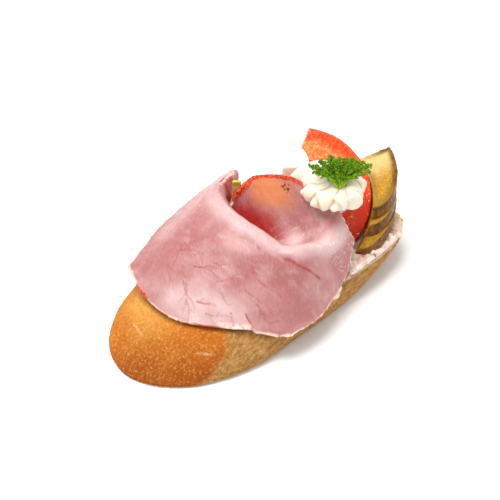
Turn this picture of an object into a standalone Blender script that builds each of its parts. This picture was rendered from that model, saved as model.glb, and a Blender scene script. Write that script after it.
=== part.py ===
"""Open sandwich with a folded slice of ham.

A bias-cut slab of white loaf carries a layer of ham salad. A folded slice of ham lies
over the long left part. At the right end stand half a tomato slice, two pieces of
boiled egg and a fan of three gherkin slices, with a piped cream rosette and a sprig of
curly parsley in front of them. All sizes below are millimetres.
"""
import math

import bmesh
import bpy
import numpy as np
from mathutils import Matrix, Vector

MM = 0.001
GAP = 0.3                      # clearance left between pieces that touch
SWELL = 1.6                    # a cutter swells this much more, as its corners move slantwise

# Bread: a sheared slab, round at the crust end and squarer at the cut end
BREAD_THICKNESS = 13.0
BREAD_HALF_WIDTH = 34.5
BREAD_MIDDLE = -1.8            # y of its long axis
BREAD_WAIST = -20.0            # x of the widest station, at the underside
BREAD_LEAN = 27.0              # the top's outline lies this far along +X of the underside's
LEAN_POWER = 1.3
ROUND_END = 49.0               # from the waist to the round end
SQUARE_END = 63.0              # from the waist to the cut end
ROUND_POWER = 2.0              # superellipse powers of the three kinds of corner
NEAR_POWER = 5.4
FAR_POWER = 2.6
BREAD_SIDE = ((0.0, 2.4), (0.9, 1.0), (2.6, 0.0), (6.5, -0.5), (10.4, -0.2), (12.2, 0.4), (13.0, 1.2))
OUTLINE_POINTS = 72
SHARP_ANGLE = 40.0             # edges bent more than this stay sharp in shading
CUTTER_REACH = 60.0            # cutters pass this far beyond the piece they cut

# Ham salad, spread over the top of the bread
SALAD_INSET = 1.6
SALAD_START = 0.70             # its length along the round end, as a share of the bread's
SALAD_EDGE = 1.9               # thickness at the edge
SALAD_RISE = 1.9               # further thickness inside
SALAD_LUMP = 0.55              # height of the lumps
SALAD_RINGS = 8
SALAD_CORE = 0.02              # size of the innermost ring, as a share of the edge
SALAD_MIDDLE = (22.0, 0.0, 0.0)
SALAD_TOP = 18.2               # no lump reaches this height, where the garnish stands

# Ham slice: five rails from the far side to the near side, crossed by splines
HAM_THICKNESS = 1.7
HAM_CELLS = (30, 30)
HAM_FRONT_RIM = ((-36, 30, 16.5), (-41.5, 15, 14.8), (-43, -1, 14.6), (-38.5, -13, 14.6),
                 (-32, -22, 14.6), (-23, -32, 14.2), (-15, -40, 10.8))
HAM_APRON = ((-10, 34.5, 22.5), (-21, 20, 28), (-24, 5, 29), (-21, -8, 28.5),
             (-16, -19, 26.5), (-7, -31.5, 23), (-1, -41, 11.5))
HAM_CREST = ((24, 29, 33.5), (5.5, 21, 37.5), (-4, 9, 39), (-5.5, -5.5, 38.5),
             (-2.5, -19, 35), (5, -28.5, 32), (11, -38.5, 14))
HAM_VALLEY = ((6, 19.5, 22.5), (3.5, 13.5, 20.5), (3.5, 5, 20.5), (6, -6, 22),
              (13, -16.5, 27.5), (18, -28, 31.5), (21, -35.5, 17.2))
HAM_BACK_RIM = ((11, 17, 34.5), (19.5, 15.5, 39.5), (23, 8, 43), (26, -1, 44.5),
                (28, -8.5, 42.5), (31, -20.5, 36), (32, -29.5, 25.5))

# The standing slices lean away from the ham: direction they face, and how far they lean
FACING_AZIMUTH = 45.0
TOMATO_LEAN = 31.0
TOMATO_CENTRE = (30.2, -2.2, 31.9)
TOMATO_RADIUS = 28.4
TOMATO_THICKNESS = 7.5
TOMATO_BEVEL = 0.02
ROUND_POINTS = 72
TOMATO_CUT = (2.9, 28.1)       # the straight cut passes through this point of the face
TOMATO_CUT_LEAN = 23.0         # and leans this many degrees
TOMATO_INNER_CUT = -0.6        # lower down it ends in an upright cut at this place
TOMATO_FOOT = 15.2             # height of the cut that it stands on
SEED_POCKET = (-6.0, 13.5, 9.0)   # centre and radius of the open seed pocket
EGG_THICKNESS = 4.3
EGG_HALF_LENGTH = 15.6
EGG_HALF_HEIGHT = 15.4
EGG_BEVEL = 0.035
EGG_CENTRE = (33.1, -10.3, 34.7)
EGG_PIECE = (11.0, 4.2)        # width and thickness of the piece behind
EGG_PIECE_CORNER = (39.5, 18.0)
EGG_PIECE_TOP = 32.4
EGG_PIECE_ROUND = 1.2

# Gherkin fan: sloping stack of oval slices with a slanted skin
GHERKIN_SLICES = 3
GHERKIN_CENTRE = (60.3, -11.9, 36.3)
GHERKIN_SLOPE = 15.0
GHERKIN_HALF_WIDTH = 11.6
GHERKIN_HALF_LENGTH = 19.5
GHERKIN_THICKNESS = 4.5
GHERKIN_SKEW = (-0.3, -3.2)    # the back face is shifted this far across and along
GHERKIN_STEP = (0.0, -2.4)     # each lower slice peeps out this far past the one on it
GHERKIN_FAN = 7.0              # and is turned by this many degrees
GHERKIN_TOP_CUT = 7.6          # the slices end in a straight cut this far up the slope
GHERKIN_CUT_SLANT = 0.52
GHERKIN_POINTS = 48

# Rosette and parsley
ROSETTE_CENTRE = (33.6, -15.2, 37.5)
ROSETTE_RADIUS = 11.6
ROSETTE_HEIGHT = 9.5
ROSETTE_LOBES = 7
ROSETTE_LOBE_DEPTH = 0.17
ROSETTE_TWIST = 1.5            # turn of a lobe from foot to top, in radians
ROSETTE_LEVELS = 14
ROSETTE_SHRINK = 0.93          # share of the radius lost from foot to top
ROSETTE_DOME = 1.7             # power that rounds its side
ROSETTE_UNDERCUT = 0.14        # share of the radius by which the very foot is narrower
PARSLEY_FOOT = (31.9, -21.6, 44.2)
PARSLEY_HEIGHT = 15.5
PARSLEY_HALF_ANGLE = 56.0
PARSLEY_FRONDS = 9
PARSLEY_LEAN = 22.0
PARSLEY_THICKNESS = 2.6
PARSLEY_CUP = 0.012            # rise of the cupped sides, per square millimetre across
STEM_HALF_WIDTH = 0.8

STRIP_PLACE = (14.5, 19.3)     # small strip that stands behind the fold
STRIP_SIZE = (3.6, 1.5)
STRIP_TOP = 37.3
STRIP_ROUND = 0.8


def clear_scene():
    """Remove every object of the open scene."""
    for item in list(bpy.data.objects):
        bpy.data.objects.remove(item, do_unlink=True)


def material(name, colour, roughness):
    """Return a Principled material with a plain colour."""
    made = bpy.data.materials.new(name)
    made.use_nodes = True
    shader = made.node_tree.nodes["Principled BSDF"]
    shader.inputs["Base Color"].default_value = (*colour, 1.0)
    shader.inputs["Roughness"].default_value = roughness
    made.diffuse_color = (*colour, 1.0)
    return made


def add_object(name, shape, finish=None):
    """Link a bmesh as a named object, scaled from millimetres to metres."""
    bmesh.ops.scale(shape, vec=Vector((MM, MM, MM)), verts=shape.verts)
    bmesh.ops.recalc_face_normals(shape, faces=shape.faces)
    mesh = bpy.data.meshes.new(name)
    shape.to_mesh(mesh)
    shape.free()
    made = bpy.data.objects.new(name, mesh)
    bpy.context.scene.collection.objects.link(made)
    if finish:
        mesh.materials.append(finish)
        mesh.shade_smooth()
        mesh.set_sharp_from_angle(angle=math.radians(SHARP_ANGLE))
    return made


def ring_loft(rings):
    """Close a stack of equal rings of points into a solid with flat ends."""
    shape = bmesh.new()
    loops = [[shape.verts.new(point) for point in ring] for ring in rings]
    count = len(loops[0])
    for low, high in zip(loops, loops[1:]):
        for i in range(count):
            j = (i + 1) % count
            shape.faces.new((low[i], low[j], high[j], high[i]))
    shape.faces.new(loops[0])
    shape.faces.new(loops[-1])
    return shape


def as_cutter(made):
    """Mark an object as a cutter, which is no part of the sandwich."""
    made.hide_render = True
    made.display_type = "WIRE"
    return made


def cut(target, cutter):
    """Take the cutter's volume out of the target."""
    step = target.modifiers.new("cut " + cutter.name, "BOOLEAN")
    step.operation = "DIFFERENCE"
    step.solver = "EXACT"
    step.object = cutter


def clear_of(target, neighbour):
    """Cut the target back so that a small gap is left round the neighbour."""
    cutter = neighbour.copy()
    cutter.data = neighbour.data.copy()
    cutter.name = f"{target.name} room for {neighbour.name}"
    bpy.context.scene.collection.objects.link(cutter)
    swell = cutter.modifiers.new("swell", "DISPLACE")
    swell.strength = GAP * SWELL * MM
    swell.mid_level = 0.0
    cut(target, as_cutter(cutter))


def signed_power(value, power):
    """Raise the size of a value to a power and keep its sign."""
    return math.copysign(abs(value) ** power, value)


def bread_outline(height, inset=0.0, round_end=ROUND_END):
    """Points round the bread at a height, from the cut end by way of the far side."""
    waist = BREAD_WAIST + BREAD_LEAN * (height / BREAD_THICKNESS) ** LEAN_POWER
    points = []
    for i in range(OUTLINE_POINTS):
        angle = 2 * math.pi * i / OUTLINE_POINTS
        across = math.sin(angle)
        along = math.cos(angle)
        if along < 0:
            length, power = round_end, ROUND_POWER
        else:
            length, power = SQUARE_END, FAR_POWER if across > 0 else NEAR_POWER
        x = waist + (length - inset) * signed_power(along, 2 / power)
        y = BREAD_MIDDLE + (BREAD_HALF_WIDTH - inset) * signed_power(across, 2 / power)
        points.append((x, y, height))
    return points


def make_bread(finish):
    """The slab of loaf, with crust edges rounded at top and bottom."""
    rings = [bread_outline(height, inset) for height, inset in BREAD_SIDE]
    return add_object("bread", ring_loft(rings), finish)


def salad_height(x, y, share):
    """Thickness of the salad at a place; share runs from 0 inside to 1 at the edge."""
    lumps = math.sin(0.52 * x + 0.8) * math.cos(0.47 * y - 0.3)
    lumps += 0.6 * math.sin(0.91 * x - 0.63 * y)
    rise = SALAD_RISE * (1 - share ** 6)
    return SALAD_EDGE + rise + SALAD_LUMP * lumps * (1 - 0.4 * share)


def make_salad(finish):
    """The layer of ham salad, lumpy on top and flat under."""
    base = BREAD_THICKNESS + GAP
    outline = bread_outline(BREAD_THICKNESS, SALAD_INSET, ROUND_END * SALAD_START)
    middle = Vector(SALAD_MIDDLE)
    rings = [[(x, y, base) for x, y, _ in outline]]
    for i in range(SALAD_RINGS):
        share = 1 - i / SALAD_RINGS
        ring = []
        for x, y, _ in outline:
            place = middle.lerp(Vector((x, y, 0)), SALAD_CORE + (1 - SALAD_CORE) * share)
            ring.append((place.x, place.y, base + salad_height(place.x, place.y, share)))
        rings.append(ring)
    return add_object("ham_salad", ring_loft(rings), finish)


def spline(points, samples):
    """Pass an even Catmull-Rom spline through an array of points."""
    points = np.asarray(points, float)
    last = len(points) - 1
    first_ghost = 2 * points[0] - points[1]
    last_ghost = 2 * points[-1] - points[-2]
    padded = np.concatenate([[first_ghost], points, [last_ghost]])
    rows = []
    for place in np.linspace(0, last, samples):
        k = min(int(place), last - 1)
        t = place - k
        a, b, c, d = padded[k:k + 4]
        cubic = (3 * b - a - 3 * c + d) * t ** 3
        square = (2 * a - 5 * b + 4 * c - d) * t ** 2
        rows.append(0.5 * (2 * b + (c - a) * t + square + cubic))
    return np.array(rows)


def ham_sheet():
    """Grid of points on the middle of the ham, and the unit normals there."""
    rails = np.array([HAM_FRONT_RIM, HAM_APRON, HAM_CREST, HAM_VALLEY, HAM_BACK_RIM], float)
    ribs = spline(rails, HAM_CELLS[0] + 1)
    grid = spline(ribs.transpose(1, 0, 2), HAM_CELLS[1] + 1)
    normals = np.cross(np.gradient(grid, axis=1), np.gradient(grid, axis=0))
    normals /= np.linalg.norm(normals, axis=2, keepdims=True)
    return grid, -normals


def sheet_solid(lower, upper):
    """Join two equal grids of points into one closed solid."""
    shape = bmesh.new()
    sides = [[[shape.verts.new(point) for point in row] for row in grid] for grid in (lower, upper)]
    rows, columns = len(lower), len(lower[0])
    for side in sides:
        for j in range(rows - 1):
            for i in range(columns - 1):
                shape.faces.new((side[j][i], side[j][i + 1], side[j + 1][i + 1], side[j + 1][i]))
    rim = [(0, i) for i in range(columns)]
    rim += [(j, columns - 1) for j in range(1, rows)]
    rim += [(rows - 1, i) for i in range(columns - 2, -1, -1)]
    rim += [(j, 0) for j in range(rows - 2, 0, -1)]
    for (j, i), (l, k) in zip(rim, rim[1:] + rim[:1]):
        shape.faces.new((sides[0][j][i], sides[0][l][k], sides[1][l][k], sides[1][j][i]))
    return shape


def make_ham(finish):
    """The folded slice: front apron, crest, pocket and back wall in one sheet."""
    grid, normals = ham_sheet()
    half = HAM_THICKNESS / 2
    return add_object("ham_slice", sheet_solid(grid - half * normals, grid + half * normals), finish)


def leaning_frame(lean):
    """Unit vectors across, up the slice, and out of its face."""
    turn = math.radians(FACING_AZIMUTH)
    tip = math.radians(lean)
    away = Vector((math.sin(turn), math.cos(turn), 0))
    across = Vector((math.cos(turn), -math.sin(turn), 0))
    rise = away * math.sin(tip) + Vector((0, 0, math.cos(tip)))
    out = -away * math.cos(tip) + Vector((0, 0, math.sin(tip)))
    return across, rise, out


def slab(outline, frame, centre, thickness, shift=(0.0, 0.0), bevel=0.0):
    """Extrude a flat outline backwards from its face, with an optional slant and bevel."""
    across, rise, out = frame
    centre = Vector(centre)
    if bevel:
        levels = ((0.0, 1 - bevel), (0.12, 1.0), (0.88, 1.0), (1.0, 1 - bevel))
    else:
        levels = ((0.0, 1.0), (1.0, 1.0))
    rings = []
    for depth, size in levels:
        start = centre - out * thickness * depth
        start += across * shift[0] * depth + rise * shift[1] * depth
        rings.append([start + across * u * size + rise * v * size for u, v in outline])
    return ring_loft(rings)


def oval(half_width, half_height, points, start=0.0, end=360.0):
    """Points on an ellipse between two angles."""
    places = []
    for i in range(points):
        angle = math.radians(start + (end - start) * i / points)
        places.append((half_width * math.cos(angle), half_height * math.sin(angle)))
    return places


def block_cutter(name, frame, place, side):
    """A big block along a frame's vectors; side shifts it off the place, in half sizes."""
    shape = bmesh.new()
    bmesh.ops.create_cube(shape, size=2 * CUTTER_REACH)
    middle = Vector(place)
    for axis, share in zip(frame, side):
        middle += axis * share * CUTTER_REACH
    turn = Matrix(frame).transposed().to_4x4()
    bmesh.ops.transform(shape, matrix=Matrix.Translation(middle) @ turn, verts=shape.verts)
    return as_cutter(add_object(name, shape))


def make_tomato(finish):
    """Half a slice of tomato that stands on its cut foot."""
    name = "tomato_slice"
    frame = leaning_frame(TOMATO_LEAN)
    across, rise, out = frame
    centre = Vector(TOMATO_CENTRE)
    outline = oval(TOMATO_RADIUS, TOMATO_RADIUS, ROUND_POINTS)
    shape = slab(outline, frame, centre, TOMATO_THICKNESS, bevel=TOMATO_BEVEL)
    made = add_object(name, shape, finish)
    tilt = Matrix.Rotation(math.radians(-TOMATO_CUT_LEAN), 3, out)
    side_frame = (tilt @ across, tilt @ rise, out)
    place = centre + across * TOMATO_CUT[0] + rise * TOMATO_CUT[1]
    cut(made, block_cutter(name + " straight cut", side_frame, place, (-1.0, -0.4, 0.0)))
    place = centre + across * TOMATO_INNER_CUT
    cut(made, block_cutter(name + " inner cut", frame, place, (-1.0, 0.0, 0.0)))
    level = (Vector((1, 0, 0)), Vector((0, 1, 0)), Vector((0, 0, 1)))
    cut(made, block_cutter(name + " foot cut", level, (0, 0, TOMATO_FOOT), (0.0, 0.0, -1.0)))
    u, v, pocket = SEED_POCKET
    middle = centre + across * u + rise * v + out * TOMATO_THICKNESS
    shape = slab(oval(pocket, pocket, ROUND_POINTS // 3), frame, middle, 3 * TOMATO_THICKNESS)
    cut(made, as_cutter(add_object(name + " seed pocket", shape)))
    return made


def tomato_room():
    """The tomato's round, drawn out towards the ham: gherkins end where it passes."""
    frame = leaning_frame(TOMATO_LEAN)
    radius = TOMATO_RADIUS + GAP
    front = Vector(TOMATO_CENTRE) + frame[2] * CUTTER_REACH
    depth = CUTTER_REACH + TOMATO_THICKNESS + GAP
    shape = slab(oval(radius, radius, ROUND_POINTS), frame, front, depth)
    return as_cutter(add_object("tomato room", shape))


def make_egg_slice(finish):
    """The oval slice of boiled egg that shows as a dome above the ham."""
    outline = oval(EGG_HALF_LENGTH, EGG_HALF_HEIGHT, 40)
    frame = leaning_frame(TOMATO_LEAN)
    shape = slab(outline, frame, EGG_CENTRE, EGG_THICKNESS, bevel=EGG_BEVEL)
    return add_object("egg_slice", shape, finish)


def rounded_box(size, corner, steps=4):
    """Outline of a rectangle with round corners, its lower left corner at the origin."""
    width, height = size
    outline = []
    centres = ((width - corner, height - corner, 0), (corner, height - corner, 90),
               (corner, corner, 180), (width - corner, corner, 270))
    for x, y, start in centres:
        for i in range(steps + 1):
            angle = math.radians(start + 90 * i / steps)
            outline.append((x + corner * math.cos(angle), y + corner * math.sin(angle)))
    return outline


def make_egg_piece(finish):
    """The upright piece of egg white that stands behind the slice."""
    width, thickness = EGG_PIECE
    outline = rounded_box((width, EGG_PIECE_TOP - SALAD_TOP), EGG_PIECE_ROUND)
    shape = slab(outline, leaning_frame(0.0), (*EGG_PIECE_CORNER, SALAD_TOP), thickness)
    return add_object("egg_piece", shape, finish)


def make_strip(finish):
    """The small strip of cheese that shows between the ham's folds."""
    width, thickness = STRIP_SIZE
    frame = leaning_frame(0.0)
    corner = Vector((*STRIP_PLACE, SALAD_TOP)) - frame[0] * width / 2
    outline = rounded_box((width, STRIP_TOP - SALAD_TOP), STRIP_ROUND)
    shape = slab(outline, frame, corner, thickness)
    return add_object("cheese_strip", shape, finish)


def make_gherkin(index, finish):
    """One oval slice of the fan; index 0 lies on top."""
    frame = leaning_frame(90.0 - GHERKIN_SLOPE)
    across, rise, out = frame
    pitch = across * (GHERKIN_SKEW[0] + GHERKIN_STEP[0]) + rise * (GHERKIN_SKEW[1] + GHERKIN_STEP[1])
    pitch -= out * (GHERKIN_THICKNESS + GAP)
    centre = Vector(GHERKIN_CENTRE) + pitch * index
    outline = oval(GHERKIN_HALF_WIDTH, GHERKIN_HALF_LENGTH, GHERKIN_POINTS)
    outline = [(u, min(v, GHERKIN_TOP_CUT + GHERKIN_CUT_SLANT * u)) for u, v in outline]
    turn = Matrix.Rotation(math.radians(-GHERKIN_FAN * index), 2)
    outline = [turn @ Vector(point) for point in outline]
    shape = slab(outline, frame, centre, GHERKIN_THICKNESS, shift=GHERKIN_SKEW)
    return add_object(f"gherkin_slice_{index + 1}", shape, finish)


def make_rosette(finish):
    """The piped swirl: a lobed dome whose lobes wind round towards the top."""
    around = ROSETTE_LOBES * 6
    rings = []
    for level in range(ROSETTE_LEVELS):
        rise = level / (ROSETTE_LEVELS - 1)
        size = ROSETTE_RADIUS * (1 - ROSETTE_SHRINK * rise ** ROSETTE_DOME)
        size *= 1 - ROSETTE_UNDERCUT * max(0, 1 - rise * 8)
        ring = []
        for i in range(around):
            angle = 2 * math.pi * i / around
            wave = math.cos(ROSETTE_LOBES * (angle - ROSETTE_TWIST * rise))
            radius = size * (1 + ROSETTE_LOBE_DEPTH * wave)
            ring.append((ROSETTE_CENTRE[0] + radius * math.cos(angle),
                         ROSETTE_CENTRE[1] + radius * math.sin(angle),
                         ROSETTE_CENTRE[2] + ROSETTE_HEIGHT * rise))
        rings.append(ring)
    return add_object("cream_rosette", ring_loft(rings), finish)


def parsley_outline():
    """Edge of the fan: a short stem, then fronds that end in small teeth."""
    half = math.radians(PARSLEY_HALF_ANGLE)
    steps = PARSLEY_FRONDS * 8
    points = [(STEM_HALF_WIDTH, 0.0)]
    for i in range(steps + 1):
        share = i / steps
        angle = half - 2 * half * share
        frond = math.cos(2 * math.pi * PARSLEY_FRONDS * (share - 0.5 / PARSLEY_FRONDS))
        tooth = math.cos(6 * math.pi * PARSLEY_FRONDS * share)
        reach = PARSLEY_HEIGHT * (0.88 + 0.08 * frond + 0.04 * tooth)
        points.append((reach * math.sin(angle), reach * math.cos(angle)))
    points.append((-STEM_HALF_WIDTH, 0.0))
    return points


def make_parsley(finish):
    """The sprig as one cupped fan with a toothed edge."""
    across, rise, out = leaning_frame(PARSLEY_LEAN)
    foot = Vector(PARSLEY_FOOT)
    edge = parsley_outline()
    rings = []
    for side in (0, 1):
        ring = []
        for u, v in edge:
            depth = PARSLEY_CUP * u * u + PARSLEY_THICKNESS * side
            ring.append(foot + across * u + rise * v + out * depth)
        rings.append(ring)
    return add_object("parsley_sprig", ring_loft(rings), finish)


def build():
    """Make every piece and cut each one clear of what it rests against."""
    clear_scene()
    finishes = {
        "crust": material("crust", (0.61, 0.30, 0.09), 0.7),
        "salad": material("salad", (0.86, 0.70, 0.64), 0.5),
        "ham": material("ham", (0.80, 0.42, 0.40), 0.4),
        "tomato": material("tomato", (0.72, 0.08, 0.03), 0.3),
        "egg": material("egg white", (0.90, 0.86, 0.80), 0.4),
        "cheese": material("cheese", (0.85, 0.76, 0.50), 0.5),
        "gherkin": material("gherkin", (0.45, 0.36, 0.08), 0.35),
        "cream": material("cream", (0.90, 0.85, 0.75), 0.45),
        "parsley": material("parsley", (0.05, 0.18, 0.02), 0.5),
    }
    make_bread(finishes["crust"])
    salad = make_salad(finishes["salad"])
    ham = make_ham(finishes["ham"])
    tomato = make_tomato(finishes["tomato"])
    egg = make_egg_slice(finishes["egg"])
    make_egg_piece(finishes["egg"])
    make_strip(finishes["cheese"])
    room = tomato_room()
    gherkins = [make_gherkin(index, finishes["gherkin"]) for index in range(GHERKIN_SLICES)]
    for gherkin in gherkins:
        cut(gherkin, room)
    rosette = make_rosette(finishes["cream"])
    make_parsley(finishes["parsley"])
    for neighbour in (tomato, gherkins[-1]):
        clear_of(salad, neighbour)
    for neighbour in (ham, tomato, egg):
        clear_of(rosette, neighbour)


if __name__ == "__main__":
    build()
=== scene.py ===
"""Open sandwich with folded ham: surfaces, small pieces, light and camera.

The packed model is the frame. Every piece below starts from a node of that frame, so it
stands where the solids stand. Lengths in the code are millimetres, and the settings in
the sidebar are metres.
"""

import math
import random

import bmesh
import bpy
import numpy as np
from bpy.props import FloatProperty, FloatVectorProperty, IntProperty, PointerProperty
from mathutils import Matrix, Vector, noise
from mathutils.bvhtree import BVHTree
from mathutils.kdtree import KDTree


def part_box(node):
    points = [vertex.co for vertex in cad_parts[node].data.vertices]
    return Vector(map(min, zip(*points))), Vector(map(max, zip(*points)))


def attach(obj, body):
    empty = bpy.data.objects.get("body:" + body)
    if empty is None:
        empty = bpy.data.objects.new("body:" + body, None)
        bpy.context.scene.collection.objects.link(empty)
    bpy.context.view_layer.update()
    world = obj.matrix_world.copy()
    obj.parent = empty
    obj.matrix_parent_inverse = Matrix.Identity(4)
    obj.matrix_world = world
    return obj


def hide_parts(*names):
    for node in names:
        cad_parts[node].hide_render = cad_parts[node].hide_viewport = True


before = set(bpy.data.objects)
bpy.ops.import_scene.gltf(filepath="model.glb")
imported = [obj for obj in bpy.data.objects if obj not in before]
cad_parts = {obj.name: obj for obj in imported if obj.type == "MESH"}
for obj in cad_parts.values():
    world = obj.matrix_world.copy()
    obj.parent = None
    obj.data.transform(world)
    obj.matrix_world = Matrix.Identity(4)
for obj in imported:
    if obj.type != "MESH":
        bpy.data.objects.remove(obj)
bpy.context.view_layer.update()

bl_info = {
    "name": "Open Sandwich with Ham",
    "version": (1, 0, 0),
    "blender": (4, 5, 0),
    "location": "3D View > Sidebar > Sandwich",
    "description": "Builds the surfaces and small pieces of an open sandwich over its frame",
    "category": "Add Mesh",
}

MM = 0.001
FACING = math.radians(45)      # the slices and the rosette's sprig face this way, to -X -Y
AWAY = Vector((math.sin(FACING), math.cos(FACING), 0))
ACROSS = Vector((math.cos(FACING), -math.sin(FACING), 0))

TOMATO_CENTRE = Vector((30.2, -2.2, 31.9))
TOMATO_LEAN = 31.0             # degrees back from upright
GHERKIN_LEAN = 75.0
ROSETTE_CENTRE = Vector((33.6, -15.2, 0.0))
ROSETTE_RADIUS = 12.9
CAMERA_TARGET = Vector((2.8, 0.0, 19.8))

# Pale scuffs on the crust and red streaks on the ham, each from one place to another in plan.
SCUFFS = (((-45.2, -19.7), (-41.0, -24.9)), ((-53.0, 4.0), (-51.0, 10.0)))
STREAKS = (((-3.0, -24.5), (0.5, -29.5)), ((1.0, -30.0), (6.5, -34.6)),
           ((-24.4, -25.0), (-24.8, -29.3)))
# Painted shade on darker-looking parts of the ham: middle and reach.
DARK_SPOTS = (((-9, -35, 19.5), 9.0), ((-29, 15, 23), 13.0), ((20, -34.5, 22), 10.0),
              ((31, -26, 27), 7.0), ((21, -7, 38), 9.0))
# Bits in the salad: kind, its two colour settings, how many, mean radius, and larger chunks
# with their places and radii.
SALAD_BITS = (
    ("gherkin", "pickle_bit", "ochre", 20, 0.9,
     (((21.6, -34.9, 17.0), 1.9), ((23.2, -34.9, 15.6), 1.2))),
    ("pepper", "pepper_bit", "spread_pink", 9, 0.9, (((23.0, -35.2, 15.0), 1.6),)),
    ("egg", "egg_bit", "spread", 26, 1.2,
     (((13.6, -36.8, 12.0), 2.3), ((15.2, -36.6, 14.0), 1.7))),
)
# Soft lights: name, place and side in metres, power in watts. The sky's strength and half
# the floor's side follow.
LAMPS = (("key", (-0.06, 0.16, 0.88), 0.55, 7.6), ("fill", (0.35, -0.80, 0.60), 0.9, 0.9),
         ("left fill", (-0.80, -0.25, 0.45), 0.9, 0.8))
SKY = 0.66
FLOOR_HALF = 3.0


# Plain helpers ---------------------------------------------------------------------


def tint(colour):
    """Screen colour, as the pickers show it, to the linear values that shaders take."""
    linear = [c / 12.92 if c <= 0.04045 else ((c + 0.055) / 1.055) ** 2.4 for c in colour]
    return (*linear, 1.0)


def smooth(low, high, value):
    """0 below low, 1 above high and an even S between them; low may be the larger."""
    share = min(1.0, max(0.0, (value - low) / (high - low)))
    return share * share * (3 - 2 * share)


def window(value, start, full, fade, end):
    """0 outside start..end and 1 between full and fade."""
    return smooth(start, full, value) * smooth(end, fade, value)


def grain(place, size, seed=0.0):
    """Soft noise from -1 to 1 with lumps of a size, at a place, both in millimetres."""
    return noise.noise(Vector(place) / size + Vector((seed, seed * 1.7, seed * 0.3)))


def along(angle, lean=0.0):
    """Unit vector in the plane that faces the front, leaning back by some degrees."""
    tip = math.radians(lean)
    rise = AWAY * math.sin(tip) + Vector((0, 0, math.cos(tip)))
    return ACROSS * math.sin(angle) + rise * math.cos(angle)


def off_line(place, start, end):
    """Distance from a place to the straight line between two others."""
    start = Vector(start)
    ahead = Vector(end) - start
    share = min(1, max(0, (place - start).dot(ahead) / ahead.length_squared))
    return (place - start - ahead * share).length


def search_tree(places):
    """Tree that finds the nearest of some places."""
    tree = KDTree(len(places))
    for i, place in enumerate(places):
        tree.insert(place, i)
    tree.balance()
    return tree


# Meshes ----------------------------------------------------------------------------


def add_piece(name, mesh, finish, slot, *nodes):
    """Link a mesh as a piece that rides on the sandwich and may replace nodes."""
    piece = bpy.data.objects.new(name, mesh)
    bpy.context.scene.collection.objects.link(piece)
    mesh.materials.clear()
    mesh.materials.append(finish)
    mesh.shade_smooth()
    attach(piece, "root")
    if nodes:
        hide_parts(*nodes)
    return piece


def settle(piece):
    """Turn a piece's modifiers into its mesh."""
    graph = bpy.context.evaluated_depsgraph_get()
    mesh = bpy.data.meshes.new_from_object(piece.evaluated_get(graph))
    piece.modifiers.clear()
    piece.data = mesh
    mesh.shade_smooth()


def evened(piece, cell, rounding):
    """Give a piece even small faces and softly rounded edges."""
    even = piece.modifiers.new("even faces", "REMESH")
    even.mode = "VOXEL"
    even.voxel_size = cell * MM
    soften = piece.modifiers.new("rounding", "SMOOTH")
    soften.iterations = rounding
    settle(piece)


def remade(name, node, finish, slot, cell, rounding=2):
    """Copy a node as a piece with even small faces and softly rounded edges."""
    piece = add_piece(name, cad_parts[node].data.copy(), finish, slot, node)
    evened(piece, cell, rounding)
    return piece


def roughen(piece, height):
    """Move every point along its normal by height(place, normal), in millimetres."""
    mesh = piece.data
    moves = []
    for vertex in mesh.vertices:
        moves.append(vertex.normal * height(vertex.co / MM, vertex.normal) * MM)
    for vertex, move in zip(mesh.vertices, moves):
        vertex.co += move
    mesh.update()


def mask(piece, name, share):
    """Store share(place, normal), from 0 to 1, at every point of a piece."""
    store(piece, name, [share(vertex.co / MM, vertex.normal) for vertex in piece.data.vertices])


def hollowness(piece, passes):
    """How far every point lies below the evened surface round it, in millimetres."""
    mesh = piece.data
    count = len(mesh.vertices)
    places, normals = np.empty(count * 3), np.empty(count * 3)
    mesh.vertices.foreach_get("co", places)
    mesh.vertices.foreach_get("normal", normals)
    ends = np.empty(len(mesh.edges) * 2, dtype=np.int64)
    mesh.edges.foreach_get("vertices", ends)
    first, last = ends.reshape(-1, 2).T
    links = np.bincount(np.concatenate((first, last)), minlength=count)
    even = places.reshape(-1, 3).copy()
    for _ in range(passes):
        for axis in range(3):
            total = np.bincount(first, even[last, axis], count)
            total = total + np.bincount(last, even[first, axis], count)
            even[:, axis] = total / links
    return ((even - places.reshape(-1, 3)) * normals.reshape(-1, 3)).sum(axis=1) / MM


def store(piece, name, values):
    """Keep one number for every point of a piece, for its material."""
    layer = piece.data.attributes.new(name, "FLOAT", "POINT")
    layer.data.foreach_set("value", values)


def node_points(node):
    """Corner points of a node, in millimetres."""
    return [vertex.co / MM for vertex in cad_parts[node].data.vertices]


def lump(shape, place, size, seed, flat=(1.0, 1.0, 1.0), rough=0.28, level=2):
    """Add one irregular lump to a bmesh, in millimetres."""
    rng = random.Random(seed)
    turn = Matrix.Rotation(rng.uniform(0, 6.28), 4, Vector((rng.random(), rng.random(), 1)))
    made = bmesh.ops.create_icosphere(shape, subdivisions=level, radius=1.0)["verts"]
    for vertex in made:
        bulge = 1 + rough * noise.noise(vertex.co * 1.3 + Vector((seed * 3.1, seed, 0)))
        bulge += 0.4 * rough * noise.noise(vertex.co * 3.1 + Vector((0, seed * 2.3, seed)))
        shaped = Vector(c * f for c, f in zip(vertex.co * bulge, flat))
        vertex.co = (Vector(place) + (turn @ shaped) * size) * MM


def mesh_of(shape, name):
    """Finish a bmesh as a mesh."""
    bmesh.ops.recalc_face_normals(shape, faces=shape.faces)
    mesh = bpy.data.meshes.new(name)
    shape.to_mesh(mesh)
    shape.free()
    return mesh


# Materials -------------------------------------------------------------------------


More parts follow.
